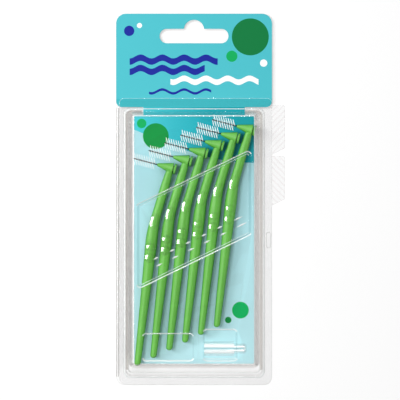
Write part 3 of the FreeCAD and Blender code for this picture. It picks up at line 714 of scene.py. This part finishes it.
def open_film(name, least, most, painted_highlight_normals):
    """Starts a clear plastic: how far each face is turned, how it shines and where white highlights are
    painted on its bends.
    """
    material, tree = new_material(name)
    facing = add_node(tree, "ShaderNodeLayerWeight", {"Blend": 0.5}).outputs["Facing"]
    steep = add_node(tree, "ShaderNodeMath", {0: facing, 1: 3}, operation="POWER")
    shine = add_node(tree, "ShaderNodeMapRange", {0: steep, 3: least, 4: most})
    normal = add_node(tree, "ShaderNodeTexCoord").outputs["Normal"]
    way = add_node(tree, "ShaderNodeVectorMath", {0: normal}, operation="ABSOLUTE")
    turned = add_node(tree, "ShaderNodeSeparateXYZ", {0: way}).outputs
    # Painted highlight white comes in between the first two upward shares of the normal and goes out between
    # the last two
    leave = add_node(tree, "ShaderNodeMapRange", {
        0: turned[2], 1: painted_highlight_normals[0], 2: painted_highlight_normals[1], 3: 0, 4: STRONGEST_PAINTED_HIGHLIGHT}, interpolation_type="SMOOTHSTEP")
    reach = add_node(tree, "ShaderNodeMapRange", {
        0: turned[2], 1: painted_highlight_normals[2], 2: painted_highlight_normals[3], 3: 1, 4: 0}, interpolation_type="SMOOTHSTEP")
    bend = add_node(tree, "ShaderNodeMath", {0: leave, 1: reach}, operation="MULTIPLY")
    return material, tree, turned, steep, shine, bend


def close_film(tree, tint, shine, gloss, bend, white):
    """Lays gloss over the clear plastic and painted highlight white over its bends."""
    through = add_node(tree, "ShaderNodeBsdfTransparent", {"Color": tint})
    film = add_node(tree, "ShaderNodeMixShader", {0: shine, 1: through, 2: gloss})
    # Matt white lit by the lamps: the painted highlight
    matt = add_node(tree, "ShaderNodeBsdfDiffuse", {"Color": white})
    both = add_node(tree, "ShaderNodeMixShader", {0: bend, 1: film, 2: matt})
    add_node(tree, "ShaderNodeOutputMaterial", {0: both})


def clear_cap():
    """Clear moulded polypropylene: greyer edge-on, with painted white highlight streaks along its wide part.
    """
    material, tree, _, steep, shine, bend = open_film(
        "clear_polypropylene_cap", 0.10, 0.5, (0.74, 0.86, 0.95, 0.985))
    across = add_node(tree, "ShaderNodeSeparateXYZ", {0: millimetres(tree)})
    # Painted highlights: the streaks are weaker past the cap's wide part
    barrel_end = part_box("protective_cap")[0].x / MM + CAP_BARREL
    narrow = add_node(tree, "ShaderNodeMath", {0: across, 1: barrel_end}, operation="GREATER_THAN")
    highlight_share = add_node(tree, "ShaderNodeMath", {0: narrow, 1: -0.6, 2: 1}, operation="MULTIPLY_ADD")
    shown = add_node(tree, "ShaderNodeMath", {0: bend, 1: highlight_share}, operation="MULTIPLY")
    tint = add_node(tree, "ShaderNodeMix", {0: steep, 6: CLEAR, 7: linear("#CFD6D8")}, data_type="RGBA")
    gloss = add_node(tree, "ShaderNodeBsdfGlossy", {"Color": CLEAR, "Roughness": 0.12})
    close_film(tree, tint.outputs[2], shine, gloss, shown, linear(PAINTED_HIGHLIGHT_WHITE))
    return material


def in_zone(tree, across, up, half):
    """One inside a rectangle about the dome's middle and nought outside it."""
    sides = []
    for place, middle, reach in zip((across, up), DOME_MIDDLE, half):
        sides.append(add_node(tree, "ShaderNodeMath", {0: place, 1: middle, 2: reach}, operation="COMPARE"))
    return add_node(tree, "ShaderNodeMath", {0: sides[0], 1: sides[1]}, operation="MULTIPLY")


def knurl(tree, across, up):
    """Height of the slanting lines on the two pull tabs, which lean towards each other."""
    sizes = bpy.context.scene.pack_sizes
    upper = add_node(tree, "ShaderNodeMath", {0: up, 1: sizes.tab_middle / MM}, operation="GREATER_THAN")
    side = add_node(tree, "ShaderNodeMath", {0: upper, 1: -2, 2: 1}, operation="MULTIPLY_ADD")
    slant = add_node(tree, "ShaderNodeMath", {0: up, 1: side, 2: across}, operation="MULTIPLY_ADD")
    wave = add_node(tree, "ShaderNodeMath", {
        0: slant, 1: 2 * math.pi * MM / sizes.knurl_pitch}, operation="MULTIPLY")
    lines = add_node(tree, "ShaderNodeMath", {0: wave}, operation="SINE")
    tab = add_node(tree, "ShaderNodeMath", {0: across, 1: sizes.tab_start / MM}, operation="GREATER_THAN")
    return add_node(tree, "ShaderNodeMath", {0: lines, 1: tab}, operation="MULTIPLY")


def clear_sheet():
    """Clear formed polyester sheet: painted white highlights on its bends, painted grey shade on its outer
    walls, and knurled pull tabs.
    """
    material, tree, turned, steep, shine, bend = open_film(
        "clear_polyester_sheet", 0.05, 0.26, (0.40, 0.60, 0.82, 0.96))
    across, up, high = add_node(tree, "ShaderNodeSeparateXYZ", {0: millimetres(tree)}).outputs
    face = in_zone(tree, across, up, FACE_HALF)
    # Painted shade on the walls: a grey tint, greyest at the sides of the pack and bluish inside its face
    greyest_shaded_side = add_node(tree, "ShaderNodeMath", {0: turned[0], 1: turned[1]}, operation="GREATER_THAN")
    outer = add_node(tree, "ShaderNodeMix", {
        0: greyest_shaded_side, 6: linear("#DDDAD8"), 7: linear("#B9B5B3")}, data_type="RGBA")
    walls = add_node(tree, "ShaderNodeMix", {
        0: face, 6: outer.outputs[2], 7: linear("#DDE8EA")}, data_type="RGBA")
    # The nest's end walls and the round at the dome's foot get neither painted highlight nor shine
    lean = add_node(tree, "ShaderNodeMath", {0: turned[0], 1: 0.4}, operation="MULTIPLY")
    ended = add_node(tree, "ShaderNodeMath", {0: lean, 1: turned[1]}, operation="GREATER_THAN")
    nest_end = add_node(tree, "ShaderNodeMath", {0: ended, 1: face}, operation="MULTIPLY")
    dome = in_zone(tree, across, up, DOME_HALF)
    low = add_node(tree, "ShaderNodeMath", {0: high, 1: DOME_FOOT[0], 2: DOME_FOOT[1]}, operation="COMPARE")
    dome_foot = add_node(tree, "ShaderNodeMath", {0: dome, 1: low}, operation="MULTIPLY")
    bare = add_node(tree, "ShaderNodeMath", {0: nest_end, 1: dome_foot}, operation="MAXIMUM")
    # The lower end of the face gets no painted highlight either
    below = add_node(tree, "ShaderNodeMath", {0: up, 1: FACE_END[0]}, operation="LESS_THAN")
    raised = add_node(tree, "ShaderNodeMath", {0: high, 1: FACE_END[1]}, operation="GREATER_THAN")
    face_end = add_node(tree, "ShaderNodeMath", {0: below, 1: raised}, operation="MULTIPLY")
    hidden = add_node(tree, "ShaderNodeMath", {0: bare, 1: face_end}, operation="MAXIMUM")
    kept = add_node(tree, "ShaderNodeMath", {0: 1, 1: hidden}, operation="SUBTRACT")
    shown = add_node(tree, "ShaderNodeMath", {0: bend, 1: kept}, operation="MULTIPLY")
    # Along the pack's outline, except at the header, the bends get a grey painted shade in place of the
    # painted highlight
    flange = add_node(tree, "ShaderNodeMath", {0: high, 1: OUTLINE_TOP}, operation="LESS_THAN")
    free = add_node(tree, "ShaderNodeMath", {0: up, 1: HEADER_FOOT}, operation="LESS_THAN")
    outline = add_node(tree, "ShaderNodeMath", {0: flange, 1: free}, operation="MULTIPLY")
    white = add_node(tree, "ShaderNodeMix", {
        0: outline, 6: linear(PAINTED_HIGHLIGHT_WHITE), 7: linear("#BDBAB8")}, data_type="RGBA")
    # The domed tops of the pips catch more light
    dull = add_node(tree, "ShaderNodeMath", {0: bare, 1: -0.9, 2: 1}, operation="MULTIPLY_ADD")
    pressed = add_node(tree, "ShaderNodeMath", {
        0: high, 1: PIP_TOPS[0], 2: PIP_TOPS[1]}, operation="COMPARE")
    domed = add_node(tree, "ShaderNodeMapRange", {0: turned[2], 1: 0.996, 2: 0.985, 3: 0, 4: 0.14})
    polish = add_node(tree, "ShaderNodeMath", {0: pressed, 1: domed}, operation="MULTIPLY")
    glossy = add_node(tree, "ShaderNodeMath", {0: shine, 1: dull, 2: polish}, operation="MULTIPLY_ADD")
    height = knurl(tree, across, up)
    bump = add_node(tree, "ShaderNodeBump", {"Height": height, "Strength": 0.12, "Distance": 0.04 * MM})
    gloss = add_node(tree, "ShaderNodeBsdfGlossy", {"Color": CLEAR, "Roughness": 0.08, "Normal": bump})
    # Tint of the flat sheet: faint grey in the knurl and on the drawn rim beside the dome
    line = add_node(tree, "ShaderNodeMapRange", {0: height, 1: 0.2, 2: 0.9})
    tabs = add_node(tree, "ShaderNodeMix", {0: line, 6: CLEAR, 7: linear("#FCFBFB")}, data_type="RGBA")
    drawn = add_node(tree, "ShaderNodeMath", {
        0: high, 1: DRAWN_RIM[0], 2: DRAWN_RIM[1]}, operation="COMPARE")
    tall = add_node(tree, "ShaderNodeMath", {0: up, 1: DOME_MIDDLE[1], 2: DOME_HALF[1]}, operation="COMPARE")
    beside = add_node(tree, "ShaderNodeMath", {0: drawn, 1: tall}, operation="MULTIPLY")
    flat = add_node(tree, "ShaderNodeMix", {
        0: beside, 6: tabs.outputs[2], 7: linear("#EAE8E6")}, data_type="RGBA")
    # Steep faces take the painted wall shade
    tint = add_node(tree, "ShaderNodeMix", {
        0: steep, 6: flat.outputs[2], 7: walls.outputs[2]}, data_type="RGBA")
    close_film(tree, tint.outputs[2], glossy, gloss, shown, white.outputs[2])
    return material


def model_pips():
    """The pips pressed over the handles and the ripples pressed between them."""
    pack = bpy.context.scene.pack_sizes
    made = []
    ball = pack.pip_round
    sink = SINK * MM
    for index in range(BRUSHES):
        for down, stretch in PIPS:
            place = brush_place(index) + handle_middle(down * MM)
            deselect()
            bpy.ops.mesh.primitive_uv_sphere_add(
                segments=PIP_POINTS, ring_count=PIP_RINGS, radius=ball,
                location=(place.x, place.y, pack.nest_top + pack.pip_height - ball),
                rotation=(0, 0, -handle_slope(down * MM)), scale=(1, stretch, 1))
            settle()
            edit()
            pick_faces(bpy.context.object, lambda middle, normal: middle.z < pack.nest_top - sink)
            bpy.ops.mesh.delete(type="FACE")
            bpy.ops.mesh.select_mode(type="EDGE")
            bpy.ops.mesh.select_non_manifold()
            bpy.ops.mesh.edge_face_add()
            close_edit()
            made.append(bpy.context.object)
    rise = Vector((-math.sin(pack.nest_slope), math.cos(pack.nest_slope), 0))
    run = Vector((math.cos(pack.nest_slope), math.sin(pack.nest_slope), 0))
    edge = Vector((pack.nest_edge_x, pack.nest_edge_y, pack.nest_top))
    step = (brush_place(BRUSHES - 1) - brush_place(0)).length / (BRUSHES - 1)
    for up, length in RIPPLES:
        for gap in range(BRUSHES):
            last = gap == BRUSHES - 1
            reach = length * MM / 2 * (LAST_RIPPLE_SHARE if last else 1)
            away = edge + rise * up * MM + run * (step * gap + pack.ripple_start + reach - length * MM / 2)
            away.z += pack.ripple_radius / 2 - sink
            deselect()
            # A ridge with four even slopes
            bpy.ops.mesh.primitive_cone_add(
                vertices=4, radius1=1, depth=1, location=away, rotation=(0, 0, pack.nest_slope),
                scale=(reach, pack.ripple_radius, pack.ripple_radius))
            settle()
            made.append(bpy.context.object)
    select_only(*made)
    bpy.ops.object.join()
    return bpy.context.object


class PACK_OT_shells(bpy.types.Operator):
    """Details the two clear halves of the pack"""

    bl_idname = "pack.shells"
    bl_label = "Clear halves"

    def execute(self, context):
        sheet = clear_sheet()
        pack = context.scene.pack_sizes
        front = cad_copy("front_shell", "visual_front_shell")
        lower_wall(front, pack.nest_drop, at_nest_corner)
        lower_wall(front, pack.hold_drop, lambda point: in_box(point, CAP_RECESS_WALL))
        lower_wall(front, pack.lug_drop, lambda point: in_box(point, SNAP_LUG))
        soften(front, FRONT_EDGES)
        unite(front, model_pips())
        back = cad_copy("back_shell", "visual_back_shell")
        soften(back, BACK_EDGES)
        for piece, body, node in ((front, "lid", "front_shell"), (back, "tray", "back_shell")):
            smooth(piece, 32)
            give(piece, sheet)
            piece.visible_shadow = False
            finish_piece(piece, body, "clear_sheet", node)
        return {"FINISHED"}


class PACK_OT_cap(bpy.types.Operator):
    """Finishes the clear cap"""

    bl_idname = "pack.cap"
    bl_label = "Cap"

    def execute(self, context):
        cap = cad_copy("protective_cap", "visual_protective_cap")
        smooth(cap, 32)
        give(cap, clear_cap())
        cap.visible_shadow = False
        finish_piece(cap, "tray", "clear_cap", "protective_cap")
        return {"FINISHED"}


def disc_over(tree, below, place, disc):
    """Lays one plain print disc over a colour: its middle and radius in mm and its colour."""
    x, y, radius, colour = disc
    flat = add_node(tree, "ShaderNodeVectorMath", {0: place, 1: (1, 1, 0)}, operation="MULTIPLY")
    away = add_node(tree, "ShaderNodeVectorMath", {0: flat, 1: (x, y, 0)}, operation="DISTANCE")
    inside = add_node(tree, "ShaderNodeMath", {0: away.outputs["Value"], 1: radius}, operation="LESS_THAN")
    return add_node(tree, "ShaderNodeMix", {
        0: inside, 6: below, 7: linear(colour)}, data_type="RGBA").outputs[2]


def wave_over(tree, below, across, up, wave):
    """Lays one plain print wave over a colour: its height, ends and half width in mm and its colour."""
    level, left, right, half, colour = wave
    turn = add_node(tree, "ShaderNodeMath", {0: across, 1: WAVE_TURN}, operation="MULTIPLY")
    swing = add_node(tree, "ShaderNodeMath", {0: turn}, operation="SINE")
    line = add_node(tree, "ShaderNodeMath", {0: swing, 1: WAVE_SWING, 2: level}, operation="MULTIPLY_ADD")
    near = add_node(tree, "ShaderNodeMath", {0: up, 1: line, 2: half}, operation="COMPARE")
    within = add_node(tree, "ShaderNodeMath", {
        0: across, 1: (left + right) / 2, 2: (right - left) / 2}, operation="COMPARE")
    inside = add_node(tree, "ShaderNodeMath", {0: near, 1: within}, operation="MULTIPLY")
    return add_node(tree, "ShaderNodeMix", {
        0: inside, 6: below, 7: linear(colour)}, data_type="RGBA").outputs[2]


def printed_board():
    """Coated print board: flat bright fields with plain waves and discs under a light varnish, and a band of
    painted shade along the header's foot.
    """
    colours = bpy.context.scene.pack_colours
    material, tree = new_material("printed_board")
    place = millimetres(tree)
    across, up, _ = add_node(tree, "ShaderNodeSeparateXYZ", {0: place}).outputs
    share = add_node(tree, "ShaderNodeMapRange", {
        0: across, 1: FIELD_ENDS[0], 2: FIELD_ENDS[1], 3: 0, 4: math.pi / 2})
    swing = add_node(tree, "ShaderNodeMath", {0: share}, operation="SINE")
    edge = add_node(tree, "ShaderNodeMath", {
        0: swing, 1: -FIELD_FALL, 2: FIELD_TOP}, operation="MULTIPLY_ADD")
    above = add_node(tree, "ShaderNodeMath", {0: up, 1: edge}, operation="GREATER_THAN")
    low = add_node(tree, "ShaderNodeMapRange", {0: up, 1: PALE_ENDS[0], 2: PALE_ENDS[1]})
    pale = add_node(tree, "ShaderNodeMix", {
        0: low, 6: linear("#BDE8EE"), 7: linear(colours.pale)}, data_type="RGBA")
    deep = add_node(tree, "ShaderNodeMix", {
        0: share, 6: linear("#48CAD6"), 7: linear(colours.deep)}, data_type="RGBA")
    field = add_node(tree, "ShaderNodeMix", {
        0: above, 6: pale.outputs[2], 7: deep.outputs[2]}, data_type="RGBA")
    head = add_node(tree, "ShaderNodeMath", {0: up, 1: HEADER_FOOT}, operation="GREATER_THAN")
    # Painted shade: a darker band along the header's foot, where the clear flange lies over it
    foot = add_node(tree, "ShaderNodeMath", {0: up, 1: SHADE_BAND_TOP}, operation="LESS_THAN")
    header_with_painted_shade = add_node(tree, "ShaderNodeMix", {
        0: foot, 6: linear(colours.header), 7: linear("#3DB8C1")}, data_type="RGBA")
    colour = add_node(tree, "ShaderNodeMix", {
        0: head, 6: field.outputs[2], 7: header_with_painted_shade.outputs[2]}, data_type="RGBA").outputs[2]
    waves = (
        (65.0, -33, 8, 1.5, colours.navy),
        (60.2, -33, 2, 1.5, colours.navy),
        (55.4, -14, 27, 1.3, "#FFFFFF"),
        (50.2, -24, 5, 0.6, colours.navy),
    )
    discs = (
        (23.2, 75.6, 8.6, colours.dark_green),
        (14.6, 66.6, 2.6, colours.dot_green),
        (29.4, 63.4, 1.7, "#FFFFFF"),
        (-33.2, 78.4, 2.4, colours.navy),
        (-28.4, 80.9, 1.2, "#FFFFFF"),
        (-20.8, 29.4, 6.0, colours.leaf_green),
        (-27.4, 35.3, 2.2, colours.dot_green),
        (18.6, -51.6, 3.9, colours.dot_green),
        (12.9, -56.2, 1.5, colours.leaf_green),
    )
    for wave in waves:
        colour = wave_over(tree, colour, across, up, wave)
    for disc in discs:
        colour = disc_over(tree, colour, place, disc)
    shader = add_node(tree, "ShaderNodeBsdfPrincipled", {
        "Base Color": colour, "Roughness": 0.5, "IOR": 1.45, "Specular IOR Level": 0.25})
    add_node(tree, "ShaderNodeOutputMaterial", {0: shader})
    return material


def plain_board():
    """Unprinted board: off-white and matt, with faint fibres."""
    material, tree = new_material("plain_board")
    fibres = add_node(tree, "ShaderNodeTexNoise", {"Vector": millimetres(tree), "Scale": 3, "Detail": 4})
    tone = add_node(tree, "ShaderNodeMix", {
        0: fibres, 6: linear("#E7E7E3"),
        7: linear(bpy.context.scene.pack_colours.board)}, data_type="RGBA")
    shader = add_node(tree, "ShaderNodeBsdfPrincipled", {"Base Color": tone.outputs[2], "Roughness": 0.8})
    add_node(tree, "ShaderNodeOutputMaterial", {0: shader})
    return material


class PACK_OT_card(bpy.types.Operator):
    """Prints the hang card on its front"""

    bl_idname = "pack.card"
    bl_label = "Hang card"

    def execute(self, context):
        card = cad_copy("header_card", "visual_header_card")
        give(card, plain_board())
        card.data.materials.append(printed_board())
        select_only(card)
        edit()
        pick_faces(card, lambda middle, normal: normal.z > FACING)
        card.active_material_index = 1
        bpy.ops.object.material_slot_assign()
        close_edit()
        finish_piece(card, "tray", "printed_card", "header_card")
        return {"FINISHED"}


def pale_floor():
    """Matt pale floor: it keeps the pack's shadow and is white straight on, in gloss and through glass."""
    material, tree = new_material("pale_floor")
    path = add_node(tree, "ShaderNodeLightPath").outputs
    seen = path["Is Camera Ray"]
    for kind in ("Is Glossy Ray", "Is Transmission Ray"):
        seen = add_node(tree, "ShaderNodeMath", {0: seen, 1: path[kind]}, operation="MAXIMUM")
    glow = add_node(tree, "ShaderNodeMath", {0: seen, 1: FLOOR_GLOW}, operation="MULTIPLY")
    matt = add_node(tree, "ShaderNodeBsdfDiffuse", {"Color": FLOOR_GREY})
    light = add_node(tree, "ShaderNodeEmission", {"Strength": glow})
    both = add_node(tree, "ShaderNodeAddShader", {0: matt, 1: light})
    add_node(tree, "ShaderNodeOutputMaterial", {0: both})
    return material


def studio_world():
    """White surroundings to the camera, dim as light, and in gloss bright low down and dark overhead."""
    world = bpy.data.worlds.new("studio")
    world.use_nodes = True
    tree = world.node_tree
    tree.nodes.clear()
    path = add_node(tree, "ShaderNodeLightPath").outputs
    way = add_node(tree, "ShaderNodeTexCoord").outputs["Generated"]
    height = add_node(tree, "ShaderNodeSeparateXYZ", {0: way}).outputs[2]
    mirrored = add_node(tree, "ShaderNodeMapRange", {0: height, 1: 0.35, 2: 0.9, 3: 1, 4: 0.03})
    plain = add_node(tree, "ShaderNodeMix", {0: path["Is Glossy Ray"], 2: WORLD_LIGHT, 3: mirrored})
    strength = add_node(tree, "ShaderNodeMix", {0: path["Is Camera Ray"], 2: plain, 3: 1})
    sky = add_node(tree, "ShaderNodeBackground", {"Color": (1, 1, 1, 1), "Strength": strength})
    add_node(tree, "ShaderNodeOutputWorld", {0: sky})
    return world


def add_lamp(name, way, lean, width, share):
    """A square soft lamp that faces the pack and gives this share of the light on its card."""
    way, lean = math.radians(way), math.radians(lean)
    towards = Vector((math.cos(way) * math.sin(lean), math.sin(way) * math.sin(lean), math.cos(lean)))
    deselect()
    bpy.ops.object.light_add(type="AREA", location=towards * LAMP_DISTANCE)
    lamp = bpy.context.object
    lamp.name = name
    lamp.data.shape = "SQUARE"
    lamp.data.size = width
    lamp.data.energy = share * (math.pi * LAMP_DISTANCE) ** 2 / math.cos(lean)
    lamp.rotation_mode = "QUATERNION"
    lamp.rotation_quaternion = towards.to_track_quat("Z", "Y")


class PACK_OT_stage(bpy.types.Operator):
    """Sets up the floor, the lamps, the world and the camera"""

    bl_idname = "pack.stage"
    bl_label = "Stage"

    def execute(self, context):
        scene = context.scene
        deselect()
        bpy.ops.mesh.primitive_plane_add(size=FLOOR_SIZE, location=(0, 0, -FLOOR_DROP * MM))
        floor = context.object
        floor.name = "floor"
        give(floor, pale_floor())
        for lamp in LAMPS:
            add_lamp(*lamp)
        scene.world = studio_world()
        deselect()
        bpy.ops.object.camera_add(location=[part * MM for part in CAMERA_PLACE], rotation=(0, 0, 0))
        camera = context.object
        camera.data.sensor_width = 36
        camera.data.lens = FOCAL_LENGTH
        camera.data.clip_start = 0.01
        camera.data.clip_end = 20
        scene.camera = camera
        scene.view_settings.view_transform = "Standard"
        return {"FINISHED"}


class PACK_PT_panel(bpy.types.Panel):
    """Lists the steps that build the pack"""

    bl_idname = "PACK_PT_panel"
    bl_label = "Brush pack"
    bl_space_type = "VIEW_3D"
    bl_region_type = "UI"
    bl_category = "Brush pack"

    def draw(self, context):
        for step in STEPS:
            self.layout.operator(step.bl_idname)
        for group in ("brush_sizes", "pack_sizes", "pack_colours"):
            values = getattr(context.scene, group)
            box = self.layout.box()
            for name in values.bl_rna.properties.keys():
                if name not in ("rna_type", "name"):
                    box.prop(values, name)


GROUPS = {"brush_sizes": BrushSizes, "pack_sizes": PackSizes, "pack_colours": PackColours}
STEPS = (PACK_OT_card, PACK_OT_shells, PACK_OT_handles, PACK_OT_wires, PACK_OT_filaments,
         PACK_OT_cap, PACK_OT_stage)


def register():
    """Adds the sizes, the operators and the panel."""
    for name, group in GROUPS.items():
        bpy.utils.register_class(group)
        setattr(bpy.types.Scene, name, bpy.props.PointerProperty(type=group))
    for step in STEPS:
        bpy.utils.register_class(step)
    bpy.utils.register_class(PACK_PT_panel)


def unregister():
    """Takes the panel, the operators and the sizes out again."""
    bpy.utils.unregister_class(PACK_PT_panel)
    for step in reversed(STEPS):
        bpy.utils.unregister_class(step)
    for name, group in reversed(GROUPS.items()):
        delattr(bpy.types.Scene, name)
        bpy.utils.unregister_class(group)


def main():
    """Builds the scene."""
    register()
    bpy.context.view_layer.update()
    bpy.ops.pack.card()
    bpy.ops.pack.shells()
    bpy.ops.pack.handles()
    bpy.ops.pack.wires()
    bpy.ops.pack.filaments()
    bpy.ops.pack.cap()
    bpy.ops.pack.stage()


if __name__ == "__main__":
    main()
